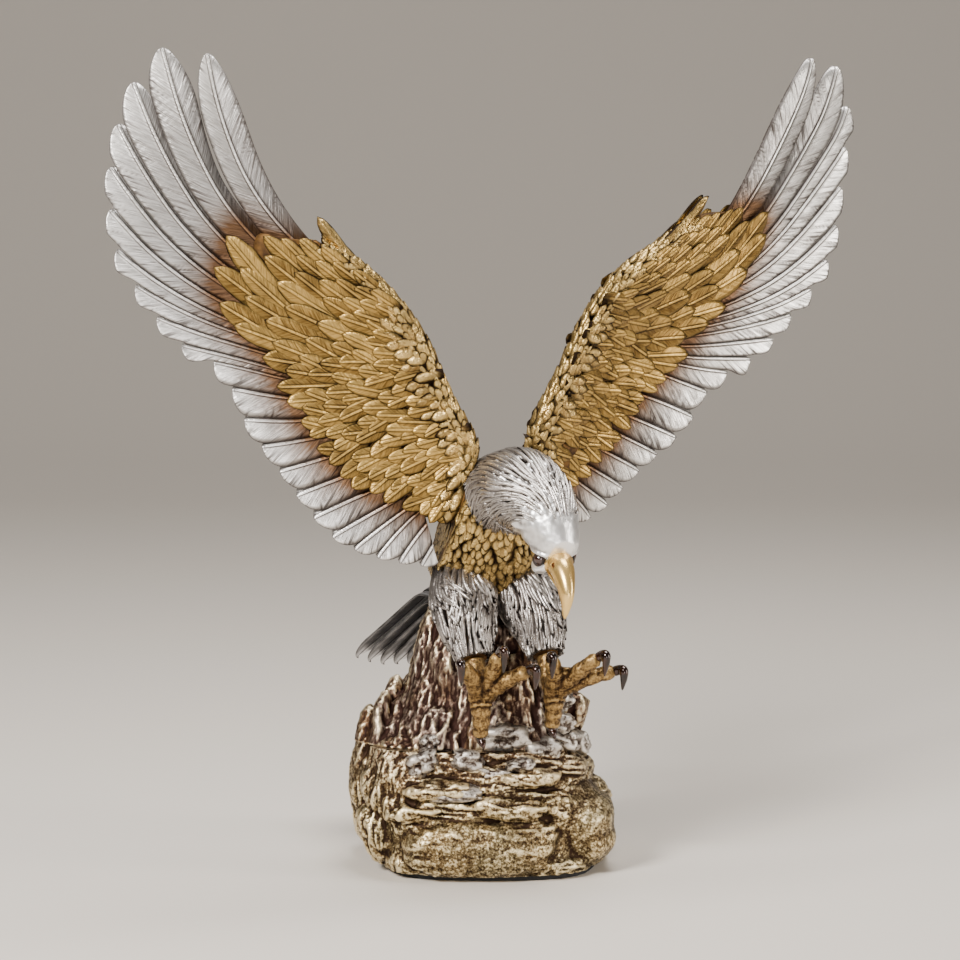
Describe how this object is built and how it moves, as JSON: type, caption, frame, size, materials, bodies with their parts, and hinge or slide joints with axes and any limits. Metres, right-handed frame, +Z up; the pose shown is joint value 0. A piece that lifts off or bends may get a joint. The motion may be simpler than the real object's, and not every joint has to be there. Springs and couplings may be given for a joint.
{
  "type": "eagle statuette",
  "caption": "Statuette of a landing eagle with raised wings on a broken stump and rock, made as separate castings; each wing plugs into its shoulder by a keyed tenon.",
  "frame": {"origin": "the middle of the flat underside of the foam pad, on the surface the statuette stands on", "axes": "+Z up, the statuette's front towards -Y, +X to the viewer's right as the front is seen"},
  "size_m": [0.3001, 0.1639, 0.3269],
  "materials": {
    "silver": "antiqued silver over a metal-filled casting",
    "gold": "antiqued gold over a metal-filled casting",
    "stone_gold": "dark brown wash rubbed with champagne gold",
    "dark_silver": "pewter with a dark wash",
    "horn_gold": "smooth pale gold",
    "eye": "glossy dark amber",
    "steel": "plain zinc-plated",
    "foam": "matt black foam",
    "board": "dark pressed board"
  },
  "bodies": {
    "stand_and_body": {"base_pad": "foam", "base_plate": "board", "rock_base": "stone_gold", "tree_stump": "stone_gold", "armature_rod": "steel", "rod_washer": "steel", "rod_nut": "steel", "torso": "gold", "head": "silver", "beak": "horn_gold", "eye_right": "eye", "eye_left": "eye", "tail": "dark_silver", "right_foot": "gold", "left_foot": "gold", "neck_dowel": "steel", "tail_dowel": "steel", "right_foot_dowel": "steel", "left_foot_dowel": "steel"},
    "right_wing": {"right_wing": "silver"},
    "left_wing": {"left_wing": "silver"}
  },
  "joints": [
    {"name": "right_wing_slide", "type": "slide", "parent": "stand_and_body", "child": "right_wing", "axis": [-0.9484, -0.1873, 0.256], "range_m": [0, 0.025]},
    {"name": "left_wing_slide", "type": "slide", "parent": "stand_and_body", "child": "left_wing", "axis": [0.8469, 0.4661, 0.256], "range_m": [0, 0.025]}
  ]
}
